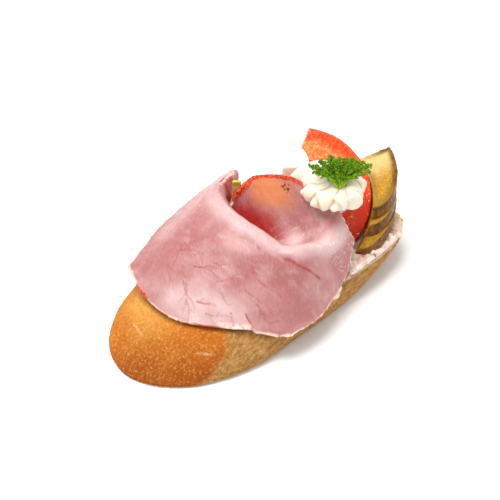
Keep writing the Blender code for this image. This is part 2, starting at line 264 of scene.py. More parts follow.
class Paint:
    """One node material, built step by step; sizes are millimetres on the object."""

    def __init__(self, name, roughness, gloss=0.5, coat=0.0, depth=0.0, glow=(1.0, 0.5, 0.3)):
        self.material = bpy.data.materials.new(name)
        self.material.use_nodes = True
        self.nodes = self.material.node_tree.nodes
        self.links = self.material.node_tree.links
        self.shader = self.nodes["Principled BSDF"]
        self.shader.inputs["Roughness"].default_value = roughness
        self.shader.inputs["Specular IOR Level"].default_value = gloss
        self.shader.inputs["Coat Weight"].default_value = coat
        self.shader.inputs["Coat Roughness"].default_value = 0.15
        if depth:
            self.shader.inputs["Subsurface Weight"].default_value = 1.0
            self.shader.inputs["Subsurface Radius"].default_value = glow
            self.shader.inputs["Subsurface Scale"].default_value = depth * MM
        self.place = self.nodes.new("ShaderNodeTexCoord").outputs["Object"]

    def put(self, socket, value):
        """Set a socket to a number or colour, or link it to another socket."""
        if isinstance(value, bpy.types.NodeSocket):
            self.links.new(value, socket)
        elif hasattr(value, "__len__") and len(value) == 3 and socket.type == "RGBA":
            socket.default_value = tint(value)
        else:
            socket.default_value = value

    def stretched(self, longer, ahead):
        """Places squeezed along one direction, so that a pattern grows longer there."""
        made = self.nodes.new("ShaderNodeMapping")
        made.vector_type = "TEXTURE"
        made.inputs["Rotation"].default_value = Vector(ahead).to_track_quat("Y", "Z").to_euler()
        made.inputs["Scale"].default_value = (1.0, longer, 1.0)
        self.links.new(self.place, made.inputs["Vector"])
        return made.outputs["Vector"]

    def bent(self, amount, size, place=None):
        """Places pushed about by noise, so that a pattern wanders."""
        wander = self.nodes.new("ShaderNodeTexNoise")
        wander.inputs["Scale"].default_value = 1 / (size * MM)
        self.links.new(place or self.place, wander.inputs["Vector"])
        scaled = self.nodes.new("ShaderNodeVectorMath")
        scaled.operation = "MULTIPLY_ADD"
        self.links.new(wander.outputs["Color"], scaled.inputs[0])
        scaled.inputs[1].default_value = (amount * MM,) * 3
        self.links.new(place or self.place, scaled.inputs[2])
        return scaled.outputs["Vector"]

    def noise(self, size, detail=3.0, place=None, rough=0.5):
        """Noise from 0 to 1 with lumps of a size."""
        made = self.nodes.new("ShaderNodeTexNoise")
        made.inputs["Scale"].default_value = 1 / (size * MM)
        made.inputs["Detail"].default_value = detail
        made.inputs["Roughness"].default_value = rough
        self.links.new(place or self.place, made.inputs["Vector"])
        return made.outputs["Fac"]

    def cells(self, size, place=None, feature="F1"):
        """Distance from the middle of a cell, or from its edge, in cell widths."""
        made = self.nodes.new("ShaderNodeTexVoronoi")
        made.feature = feature
        made.inputs["Scale"].default_value = 1 / (size * MM)
        self.links.new(place or self.place, made.inputs["Vector"])
        return made.outputs["Distance"]

    def stored(self, name):
        """A mask that was stored at the piece's points."""
        made = self.nodes.new("ShaderNodeAttribute")
        made.attribute_name = name
        return made.outputs["Fac"]

    def span(self, value, low, high, start=0.0, end=1.0):
        """Map low..high to start..end, held at both ends, with a soft S."""
        made = self.nodes.new("ShaderNodeMapRange")
        made.interpolation_type = "SMOOTHSTEP"
        self.put(made.inputs["Value"], value)
        ends = {"From Min": low, "From Max": high, "To Min": start, "To Max": end}
        for key, number in ends.items():
            made.inputs[key].default_value = number
        return made.outputs["Result"]

    def sum(self, operation, first, second):
        """Join two numbers by a math operation."""
        made = self.nodes.new("ShaderNodeMath")
        made.operation = operation
        self.put(made.inputs[0], first)
        self.put(made.inputs[1], second)
        return made.outputs["Value"]

    def both(self, first, second):
        """Where both masks are on."""
        return self.sum("MULTIPLY", first, second)

    def blend(self, share, first, second, kind="MIX"):
        """Mix two colours by a mask."""
        made = self.nodes.new("ShaderNodeMix")
        made.data_type = "RGBA"
        made.blend_type = kind
        self.put(made.inputs["Factor"], share)
        self.put(made.inputs["A"], first)
        self.put(made.inputs["B"], second)
        return made.outputs["Result"]

    def finish(self, colour, roughness=None, relief=None, height=0.1):
        """Connect colour, roughness and relief of a height, and return the material."""
        self.put(self.shader.inputs["Base Color"], colour)
        if roughness is not None:
            self.put(self.shader.inputs["Roughness"], roughness)
        if relief is not None:
            bump = self.nodes.new("ShaderNodeBump")
            bump.inputs["Distance"].default_value = height * MM
            self.links.new(relief, bump.inputs["Height"])
            self.links.new(bump.outputs["Normal"], self.shader.inputs["Normal"])
        return self.material


def crust_finish(props):
    """Browned crust with flour specks, a blond side, pale crumb where it was cut, painted light on
    the upper dome and painted shade low at the left end.
    """
    paint = Paint("browned crust", 0.72, gloss=0.12)
    broad = paint.span(paint.noise(16.0, 3), 0.32, 0.68)
    fine = paint.noise(1.1, 6, rough=0.78)
    colour = paint.blend(broad, props.crust_dark, props.crust)
    # Painted light: lighter crust on the upper dome.
    colour = paint.blend(paint.stored("top"), colour, props.crust_top)
    # Painted shade: darker crust low down at the left end.
    colour = paint.blend(paint.stored("baked"), colour, props.crust_baked)
    colour = paint.blend(paint.span(fine, 0.50, 0.36, 0.0, 0.45), colour, props.crust_baked)
    colour = paint.blend(paint.span(fine, 0.50, 0.68, 0.0, 0.62), colour, props.crust_light)
    streaks = paint.noise(1.3, 5, paint.stretched(3.0, (1.0, 0.15, 0.1)), rough=0.68)
    blond = paint.blend(paint.span(streaks, 0.36, 0.66), props.blond_dark, props.blond)
    blond = paint.blend(paint.span(fine, 0.54, 0.70, 0.0, 0.6), blond, props.crumb)
    colour = paint.blend(paint.stored("blond"), colour, blond)
    specks = paint.both(paint.span(paint.cells(1.25, paint.bent(0.9, 0.8)), 0.24, 0.10),
                        paint.span(paint.noise(6.0, 3), 0.46, 0.62))
    colour = paint.blend(paint.both(specks, 0.2), colour, props.flour)
    colour = paint.blend(paint.both(paint.stored("scuff"), 0.38), colour, props.flour)
    pores = paint.span(paint.cells(1.8, paint.bent(0.8, 1.5)), 0.30, 0.12)
    crumb = paint.blend(pores, props.crumb, props.crumb_pore)
    colour = paint.blend(paint.stored("crumb"), colour, crumb)
    relief = paint.sum("ADD", fine, paint.both(paint.noise(0.4, 3), 0.6))
    return paint.finish(colour, relief=relief, height=0.55)


def salad_finish(props):
    """Pinkish white spread, with painted shade in ochre and brown in its hollows."""
    paint = Paint("ham salad", 0.42, gloss=0.3, coat=0.1)
    patches = paint.span(paint.noise(3.0, 3), 0.42, 0.60)
    colour = paint.blend(patches, props.spread, props.spread_pink)
    crumbs = paint.blend(paint.span(paint.noise(1.1, 3), 0.54, 0.66), props.crumb, props.ochre)
    colour = paint.blend(paint.stored("crumbly"), colour, crumbs)
    # Painted shade in the hollows between the lumps, in ochre and brown.
    deep = paint.blend(paint.span(paint.noise(1.8, 2), 0.42, 0.56), props.ochre, props.spread_shade)
    colour = paint.blend(paint.stored("hollow"), colour, deep)
    flecks = paint.both(paint.span(paint.cells(1.9), 0.16, 0.09),
                        paint.span(paint.noise(5.0, 2), 0.5, 0.6))
    colour = paint.blend(flecks, colour, props.herb)
    return paint.finish(colour, relief=paint.noise(0.8, 4), height=0.2)


def bit_finish(name, colour, deep):
    """Moist finish for small bits in the salad."""
    paint = Paint(name, 0.35, gloss=0.35, coat=0.15)
    mixed = paint.blend(paint.span(paint.noise(1.6, 3), 0.35, 0.65), colour, deep)
    return paint.finish(mixed, relief=paint.noise(0.7, 3), height=0.2)


def ham_finish(props):
    """Cooked ham: pink with paler veils, fine red veins, pale fat and a paprika rind, with painted
    shade in the fold and on darker parts, painted highlights and a painted glow.
    """
    paint = Paint("cooked ham", 0.38, gloss=0.45, coat=0.10, depth=1.3, glow=(1.0, 0.32, 0.26))
    broad = paint.span(paint.noise(13.0, 3), 0.36, 0.64)
    colour = paint.blend(broad, props.meat_dark, props.meat)
    down, across = (-0.47, -0.68, -0.56), (0.15, -0.92, -0.37)
    veils = paint.noise(3.6, 5, paint.stretched(2.2, across), rough=0.6)
    veils = paint.span(veils, 0.46, 0.74, 0.0, 0.45)
    colour = paint.blend(veils, colour, props.meat_light)
    # Painted shade on darker-looking parts of the ham.
    colour = paint.blend(paint.stored("dark"), colour, props.meat_dark)
    # Painted highlights along the crest's lip, the saddle's ridge, the front and the fold's end.
    colour = paint.blend(paint.stored("pale"), colour, props.meat_pale)
    threads = paint.noise(0.7, 4, paint.stretched(4.0, down), rough=0.6)
    colour = paint.blend(paint.span(threads, 0.50, 0.72, 0.0, 0.16), colour, props.meat_pale)
    colour = paint.blend(paint.span(threads, 0.48, 0.28, 0.0, 0.22), colour, props.meat_dark)
    # Painted shade deep in the fold and along its far end.
    colour = paint.blend(paint.stored("deep"), colour, props.meat_deep)
    # Painted glow, as of light coming through the back wall near the rind.
    colour = paint.blend(paint.stored("warm"), colour, props.meat_warm)
    wall = paint.noise(0.9, 4, paint.stretched(7.0, (0.70, -0.38, 0.60)), rough=0.55)
    fibres = paint.both(paint.stored("fibres"), paint.span(wall, 0.50, 0.68, 0.0, 0.50))
    colour = paint.blend(fibres, colour, props.meat_pale)
    veins = paint.both(paint.stored("veined"),
                       paint.span(paint.noise(1.4, 3), 0.30, 0.52, 0.35, 1.0))
    colour = paint.blend(paint.both(veins, 0.8), colour, props.vein)
    spots = paint.span(paint.cells(5.2, paint.stretched(1.6, down)), 0.075, 0.045)
    spots = paint.both(spots, paint.span(paint.noise(10.0, 2), 0.54, 0.58))
    colour = paint.blend(paint.both(spots, 0.8), colour, props.vein)
    colour = paint.blend(paint.stored("streak"), colour, props.vein)
    colour = paint.blend(paint.stored("scorch"), colour, props.scorch)
    # Pale fat along the rim, with a painted highlight on the flap left of the slit.
    fat = paint.both(paint.stored("rim"), paint.span(paint.noise(1.6, 3), 0.38, 0.56, 0.15, 0.95))
    colour = paint.blend(fat, colour, props.fat)
    spice = paint.span(paint.noise(0.8, 4, rough=0.65), 0.42, 0.58)
    rind = paint.blend(spice, props.rind_dark, props.rind)
    colour = paint.blend(paint.stored("rind"), colour, rind)
    # Painted sparkling highlights along the saddle's ridge, in the fat's colour.
    sparks = paint.both(paint.stored("gleam"), paint.span(threads, 0.50, 0.58))
    colour = paint.blend(sparks, colour, props.fat)
    relief = paint.sum("ADD", threads, paint.both(veins, -1.0))
    relief = paint.sum("ADD", relief, paint.both(paint.noise(2.6, 3), 1.2))
    rough = paint.span(paint.noise(2.0, 3), 0.35, 0.65, 0.30, 0.48)
    return paint.finish(colour, roughness=rough, relief=relief, height=0.22)


def tomato_finish(props):
    """Cut tomato: thin skin, bright outer flesh and paler grainy flesh inside, with painted shade
    towards the bottom and painted wet glints.
    """
    paint = Paint("cut tomato", 0.30, gloss=0.22, coat=0.10, depth=1.2, glow=(1.0, 0.25, 0.12))
    grains = paint.span(paint.noise(1.1, 4, rough=0.6), 0.42, 0.66)
    colour = paint.blend(grains, props.flesh, props.flesh_pale)
    fibres = paint.noise(0.9, 4, paint.stretched(2.6, (0.4, -0.4, 0.8)), rough=0.6)
    fibres = paint.span(fibres, 0.42, 0.62, 0.0, 0.75)
    wall = paint.blend(fibres, props.flesh_red, props.flesh)
    colour = paint.blend(paint.stored("wall"), colour, wall)
    # Painted shade: deeper red towards the bottom of the slice.
    colour = paint.blend(paint.stored("low"), colour, props.flesh_deep)
    # Painted wet glints, more of them towards the bottom.
    wet = paint.span(paint.cells(1.5, paint.bent(1.5, 1.2)), 0.30, 0.16)
    wet = paint.both(wet, paint.span(paint.noise(3.2, 2), 0.44, 0.52))
    colour = paint.blend(paint.both(wet, paint.stored("glint")), colour, props.glint)
    line = paint.both(paint.stored("ring"), paint.span(paint.noise(2.0, 2), 0.35, 0.6))
    colour = paint.blend(line, colour, props.flesh_deep)
    colour = paint.blend(paint.stored("skin"), colour, props.skin)
    relief = paint.sum("ADD", paint.noise(0.8, 4), paint.noise(3.0, 2))
    return paint.finish(colour, relief=relief, height=0.35)


def egg_finish(props):
    """Boiled egg white, smooth, with warm hollows."""
    paint = Paint("boiled egg white", 0.38, gloss=0.3, coat=0.05, depth=2.0, glow=(1.0, 0.85, 0.7))
    warm = paint.span(paint.noise(6.0, 3), 0.45, 0.75)
    colour = paint.blend(warm, props.white, props.white_warm)
    return paint.finish(colour, relief=paint.noise(2.0, 3), height=0.12)


def cheese_finish(props):
    """Cream coloured strip with a green yellow top."""
    paint = Paint("strip of cheese", 0.4, coat=0.1, depth=1.0, glow=(1.0, 0.8, 0.5))
    colour = paint.blend(paint.stored("top"), props.strip_body, props.strip_top)
    return paint.finish(colour, relief=paint.noise(1.2, 3), height=0.12)


def gherkin_finish(props):
    """Pickled gherkin: dull green brown skin, and a cut face with wet grains."""
    paint = Paint("pickled gherkin", 0.34, gloss=0.18, coat=0.06, depth=0.8, glow=(0.9, 0.7, 0.25))
    grains = paint.span(paint.noise(1.0, 5, rough=0.65), 0.40, 0.64)
    colour = paint.blend(grains, props.cut_shade, props.cut)
    colour = paint.blend(paint.stored("core"), colour, props.cut_pale)
    dots = paint.both(paint.span(paint.noise(0.7, 3), 0.52, 0.64, 0.0, 0.45), paint.stored("core"))
    colour = paint.blend(dots, colour, props.cut)
    colour = paint.blend(paint.stored("green"), colour, props.skin_green)
    mottle = paint.span(paint.noise(1.8, 4, rough=0.6), 0.38, 0.66)
    skin = paint.blend(mottle, props.skin_dark, props.skin)
    colour = paint.blend(paint.stored("skin"), colour, skin)
    warts = paint.both(paint.span(paint.cells(1.9), 0.14, 0.06), paint.stored("skin"))
    colour = paint.blend(paint.both(warts, 0.4), colour, props.cut_pale)
    return paint.finish(colour, relief=paint.sum("ADD", paint.noise(0.8, 4), warts), height=0.25)


def cream_finish(props):
    """Piped cream, smooth, with painted shade in its folds."""
    paint = Paint("piped cream", 0.40, gloss=0.3, coat=0.06, depth=1.2, glow=(1.0, 0.85, 0.65))
    # Painted shade in the folds between the ropes.
    colour = paint.blend(paint.stored("fold"), props.cream, props.cream_fold)
    return paint.finish(colour, relief=paint.noise(1.2, 3), height=0.05)


def parsley_finish(props):
    """Curly parsley: dark tips, brighter ribs and stalk."""
    paint = Paint("curly parsley", 0.42, gloss=0.15, coat=0.04)
    colour = paint.blend(paint.stored("tone"), props.leaf, props.leaf_dark)
    dark = paint.span(paint.noise(1.0, 3), 0.52, 0.68, 0.0, 0.6)
    colour = paint.blend(dark, colour, props.leaf_dark)
    colour = paint.blend(paint.stored("rib"), colour, props.leaf_bright)
    return paint.finish(colour, relief=paint.noise(0.5, 3), height=0.12)


# Settings --------------------------------------------------------------------------


def colour(name, words, value):
    """A colour setting, given as screen red, green and blue out of 255."""
    shade = [part / 255 for part in value]
    return FloatVectorProperty(name=name, description=words, default=shade, min=0, max=1,
                               size=3, subtype="COLOR_GAMMA")


def length(name, words, value):
    """A length setting, given in millimetres and kept in metres."""
    return FloatProperty(name=name, description=words, default=value * MM, min=0,
                         unit="LENGTH", precision=4)


class BreadSettings(bpy.types.PropertyGroup):
    """The slab of loaf."""
    crust: colour("Crust", "Main colour of the crust", (212, 128, 42))
    crust_dark: colour("Dark crust", "Darker patches", (192, 104, 26))
    # Colour of the painted light on the upper dome.
    crust_top: colour("Top crust", "Crust on the upper dome", (234, 168, 80))
    # Darker crust, for the fine dark grain and for the painted shade low down.
    crust_baked: colour("Baked crust", "Crust where it was baked most", (146, 64, 6))
    crust_light: colour("Light crust", "Fine light grain of the crust", (236, 184, 110))
    blond: colour("Blond side", "Side that was baked least", (198, 149, 86))
    blond_dark: colour("Blond shade", "Darker grain of that side", (160, 108, 50))
    flour: colour("Flour", "Specks of flour and scuffs", (246, 214, 160))
    crumb: colour("Crumb", "Cut crumb", (240, 222, 188))
    crumb_pore: colour("Crumb pores", "Inside of the pores", (206, 158, 84))
    dent: length("Dents", "Depth of the crust's shallow dents", 0.35)


class SaladSettings(bpy.types.PropertyGroup):
    """The ham salad and its bits."""
    spread: colour("Spread", "Main colour of the salad", (244, 230, 216))
    spread_pink: colour("Pink spread", "Pinker parts", (234, 200, 190))
    spread_shade: colour("Shaded spread", "Between the lumps", (170, 104, 66))
    # Ochre, for crumb and gherkin bits, and for painted shade in the hollows.
    ochre: colour("Ochre", "Hollows with dressing", (186, 124, 30))
    crumb: colour("Crumb", "Crumb that shows at the far end", (238, 218, 176))
    herb: colour("Herb flecks", "Small green flecks", (110, 108, 30))
    pickle_bit: colour("Gherkin bits", "Chopped gherkin", (132, 112, 16))
    pepper_bit: colour("Red bits", "Chopped red pepper", (186, 52, 78))
    egg_bit: colour("Egg bits", "Chopped egg", (240, 214, 166))
    lumps: IntProperty(name="Lumps", description="Number of lumps in the salad", default=330, min=0)
    lump_size: length("Lump size", "Mean radius of a lump", 1.55)


class HamSettings(bpy.types.PropertyGroup):
    """The folded slice of ham."""
    meat: colour("Meat", "Main pink", (196, 142, 139))
    # Darker meat, for random darker tone and for painted shade.
    meat_dark: colour("Darker meat", "Darker muscles", (180, 112, 110))
    meat_light: colour("Lighter meat", "Lighter patches", (212, 173, 171))
    # Pale meat, for fine threads and fibres and for painted highlights.
    meat_pale: colour("Palest meat", "Along the crest and the front rim", (230, 206, 204))
    # Colour of the painted shade deep in the fold.
    meat_deep: colour("Meat in the fold", "Deep inside the fold", (176, 24, 10))
    # Colour of the painted glow in the back wall.
    meat_warm: colour("Warm meat", "Where light comes through", (224, 140, 80))
    vein: colour("Veins", "Fine veins and spots", (172, 62, 58))
    scorch: colour("Scorched spots", "Dark spots near the rind", (120, 24, 4))
    # Fat, also the colour of the painted highlights on the flap and the saddle's ridge.
    fat: colour("Fat", "Pale edge", (246, 222, 206))
    rind: colour("Rind", "Paprika on the edge", (234, 84, 18))
    rind_dark: colour("Dark rind", "Darker grains in the rind", (158, 32, 2))
    lip: length("Lip", "How far the fold's lip leans over its hollow", 3.0)
    slit: length("Slit", "Step at the slit in the front rim", 1.5)
    veins: IntProperty(name="Veins", description="Number of fine branching veins",
                       default=26, min=1)
    rind_width: length("Rind width", "Width of the paprika band", 1.9)


class TomatoSettings(bpy.types.PropertyGroup):
    """The tomato slice."""
    skin: colour("Skin", "Thin skin", (216, 44, 8))
    flesh: colour("Flesh", "Inner flesh", (244, 128, 62))
    flesh_pale: colour("Pale flesh", "Pale grains", (254, 194, 138))
    flesh_red: colour("Red flesh", "Outer wall", (242, 76, 32))
    # Deep red, for a line in the flesh and for painted shade towards the bottom.
    flesh_deep: colour("Deep flesh", "Dark wet parts", (238, 46, 18))
    glint: colour("Glints", "Small wet glints", (255, 216, 190))
    wall: length("Wall", "Thickness of the bright outer wall", 4.5)


class EggSettings(bpy.types.PropertyGroup):
    """Boiled egg and the small strip behind the fold."""
    white: colour("White", "Egg white", (252, 246, 236))
    white_warm: colour("Warm white", "Warm parts of the white", (246, 232, 210))
    tuck: FloatProperty(name="Tuck", description="How far the slice's lower side is drawn in",
                        default=0.62, min=0, max=0.8, subtype="FACTOR")
    strip_body: colour("Strip", "Body of the strip", (246, 220, 172))
    strip_top: colour("Strip top", "Top of the strip", (196, 190, 60))


class GherkinSettings(bpy.types.PropertyGroup):
    """The gherkin fan."""
    cut: colour("Cut face", "Cut flesh", (208, 162, 44))
    cut_pale: colour("Pale core", "Palest part of the cut face", (224, 206, 140))
    cut_shade: colour("Shaded flesh", "Darker grains", (180, 128, 20))
    skin: colour("Skin", "Skin", (142, 88, 10))
    skin_dark: colour("Dark skin", "Dark parts of the skin", (92, 50, 2))
    skin_green: colour("Under the skin", "Green band under the skin", (138, 106, 18))
    reach: length("Reach", "How far the lowest slice reaches over the salad", 3.2)


class CreamSettings(bpy.types.PropertyGroup):
    """The piped rosette."""
    cream: colour("Cream", "Piped cream", (240, 229, 210))
    cream_fold: colour("Folds", "Cream in the folds", (200, 166, 126))
    ropes: IntProperty(name="Ropes", description="Number of piped ropes", default=8, min=3)
    rope: FloatProperty(name="Rope", description="Thickness of a rope, as a share of the radius",
                        default=0.36, min=0, max=0.6, subtype="FACTOR")
    swirl: FloatProperty(name="Swirl", description="Turn of a rope from rim to top",
                         default=1.25, subtype="ANGLE")


class ParsleySettings(bpy.types.PropertyGroup):
    """The parsley sprig."""
    leaf: colour("Leaf", "Leaf", (132, 184, 10))
    leaf_dark: colour("Dark leaf", "Leaf tips", (34, 92, 0))
    leaf_bright: colour("Ribs", "Ribs and stalk", (196, 228, 64))
    stems: IntProperty(name="Stems", description="Stems in the front layer", default=8, min=3)
    height: length("Height", "Length of the middle stem", 13.4)
    spread: FloatProperty(name="Spread", description="How far the outer stems lean out",
                          default=1.16, subtype="ANGLE")
    thickness: length("Leaf thickness", "Thickness of a leaf", 0.2)


class StageSettings(bpy.types.PropertyGroup):
    """Floor, lights and camera."""
    floor: colour("Floor", "Colour of the floor", (250, 250, 250))
    azimuth: FloatProperty(name="Azimuth", description="Direction that the camera looks in",
                           default=math.radians(-45), subtype="ANGLE")
    elevation: FloatProperty(name="Elevation", description="Camera's angle above the horizon",
                             default=math.radians(40), subtype="ANGLE")
    distance: length("Distance", "From the camera to what it looks at", 555.6)
    lens: FloatProperty(name="Lens", description="Focal length", default=100.0,
                        subtype="DISTANCE_CAMERA")


# Operators -------------------------------------------------------------------------


class SANDWICH_OT_bread(bpy.types.Operator):
    """Build the slab of loaf with its crust"""
    bl_idname = "sandwich.bread"
    bl_label = "Bread"

    def execute(self, context):
        props = context.scene.sandwich_bread
        piece = remade("loaf_slab", "bread", crust_finish(props), "crust", 0.7, rounding=3)
        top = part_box("bread")[1].z / MM

        def crumb(place, normal):
            inner = smooth(top - 0.6, top - 0.2, place.z) * smooth(0.85, 0.97, normal.z)
            inner *= smooth(-27, -20, place.x)
            under = smooth(0.6, 0.2, place.z) * smooth(-0.85, -0.97, normal.z)
            return max(inner, under)

        def blond(place, normal):
            edge = 1.15 * (place.x + 46) - 1.9 * (place.z - 3.5) + 2.0 * grain(place, 7.0)
            near = smooth(-3.0, 1.5, edge) * smooth(-4, -14, place.y)
            far = smooth(-8, 8, place.x + 2.0 * grain(place, 7.0)) * smooth(2, 12, place.y)
            return max(near, far)

        # Painted shade: darker crust low down at the left end, towards the floor.
        def baked(place, normal):
            low = smooth(13.0, 3.0, place.z + 2.0 * grain(place, 9.0))
            return 0.72 * low * smooth(-20, -40, place.x) * smooth(16, -6, place.y)

        # Painted light: the crust grows lighter higher up the dome.
        def upper(place, normal):
            high = smooth(5.0, 11.0, place.z + 1.5 * grain(place, 8.0))
            return 0.9 * high * smooth(-12, 14, place.y)

        def scuff(place, normal):
            share = 0.0
            for start, end in SCUFFS:
                gap = off_line(place.xy, start, end) + 0.35 * grain(place, 1.4)
                share = max(share, smooth(0.45, 0.15, gap) * smooth(3.0, 5.0, place.z))
            return share

        def height(place, normal):
            dents = grain(place, 11.0, 3.0) * 0.6 + grain(place, 4.2, 5.0) * 0.4
            crust = props.dent / MM * (dents - 0.4) + 0.10 * grain(place, 1.4, 9.0)
            cut = crumb(place, normal)
            return (1 - cut) * crust - cut * max(0.0, 0.5 * grain(place, 1.6, 2.0))

        for name, share in (("crumb", crumb), ("blond", blond), ("baked", baked), ("scuff", scuff),
                            ("top", upper)):
            mask(piece, name, share)
        roughen(piece, height)
        flatten(piece, 0.0)
        return {"FINISHED"}


def flatten(piece, floor):
    """Keep a piece above a height, in millimetres."""
    for vertex in piece.data.vertices:
        vertex.co.z = max(vertex.co.z, floor * MM)


class SANDWICH_OT_salad(bpy.types.Operator):
    """Build the ham salad as a lumpy spread"""
    bl_idname = "sandwich.salad"
    bl_label = "Ham salad"

    def execute(self, context):
        props = context.scene.sandwich_salad
        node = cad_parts["ham_salad"]
        surface = BVHTree.FromObject(node, context.evaluated_depsgraph_get())
        low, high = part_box("ham_salad")
        rng = random.Random(5)
        shape = bmesh.new()
        shape.from_mesh(node.data)
        made = 0
        while made < props.lumps:
            spot = salad_spot(surface, low, high, rng)
            if spot is None:
                continue
            radius = props.lump_size / MM * rng.uniform(0.55, 1.25)
            flat = (1.0, rng.uniform(0.65, 1.0), rng.uniform(0.5, 0.8))
            lump(shape, spot - Vector((0, 0, 0.25 * radius)), radius, made, flat, rough=0.45)
            made += 1
        mesh = mesh_of(shape, "ham_salad_spread")
        piece = add_piece("ham_salad_spread", mesh, salad_finish(props), "salad", "ham_salad")
        evened(piece, 0.45, 2)
        roughen(piece, lambda place, normal: 0.16 * grain(place, 1.1, 1.0))
        depth = hollowness(piece, 14)
        far = high.x / MM

        def crumbly(place, normal):
            return smooth(far - 12, far - 5, place.x + 3 * grain(place, 4.0))

        mask(piece, "crumbly", crumbly)
        # Painted shade: darker where a point lies below the lumps round it, in patches.
        hollow = []
        for vertex, deep in zip(piece.data.vertices, depth):
            patchy = 0.4 + 0.6 * smooth(-0.1, 0.3, grain(vertex.co / MM, 3.2, 6.0))
            hollow.append(0.8 * smooth(0.0, 0.10, deep) * patchy)
        store(piece, "hollow", hollow)
        return {"FINISHED"}


class SANDWICH_OT_salad_bits(bpy.types.Operator):
    """Set bits of gherkin, pepper and egg into the salad"""
    bl_idname = "sandwich.salad_bits"
    bl_label = "Salad bits"

    def execute(self, context):
        props = context.scene.sandwich_salad
        surface = BVHTree.FromObject(bpy.data.objects["ham_salad_spread"],
                                     context.evaluated_depsgraph_get())
        low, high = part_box("ham_salad")
        for seed, (kind, outer, inner, count, size, chunks) in enumerate(SALAD_BITS, 1):
            name = f"salad_{kind}_bits"
            finish = bit_finish(f"{kind} bit", getattr(props, outer), getattr(props, inner))
            rng = random.Random(seed + 5)
            shape = bmesh.new()
            for made, (spot, radius) in enumerate(chunks):
                lump(shape, spot, radius, seed * 1000 + 900 + made, (1.0, 0.6, 0.8), rough=0.5)
            made = 0
            while made < count:
                spot = salad_spot(surface, low, high, rng)
                if spot is None:
                    continue
                radius = size * rng.uniform(0.6, 1.35)
                flat = (1.0, rng.uniform(0.6, 1.0), rng.uniform(0.45, 0.8))
                lump(shape, spot - Vector((0, 0, 0.35 * radius)), radius, seed * 1000 + made, flat)
                made += 1
            add_piece(name, mesh_of(shape, name), finish, "salad")
        return {"FINISHED"}


def salad_spot(surface, low, high, rng):
    """A random place on the salad, more often near its edge, in millimetres."""
    x = rng.uniform(low.x, high.x)
    y = rng.uniform(low.y, high.y)
    hit, _, _, _ = surface.ray_cast(Vector((x, y, high.z + 0.01)), Vector((0, 0, -1)))
    if hit is None or hit.z < high.z - 0.0035:
        return None
    inside = 0
    for turn in range(8):
        angle = math.pi * turn / 4
        beside = Vector((x + 0.005 * math.cos(angle), y + 0.005 * math.sin(angle), high.z + 0.01))
        inside += surface.ray_cast(beside, Vector((0, 0, -1)))[0] is not None
    if inside == 8 and rng.random() > 0.45:
        return None
    return hit / MM


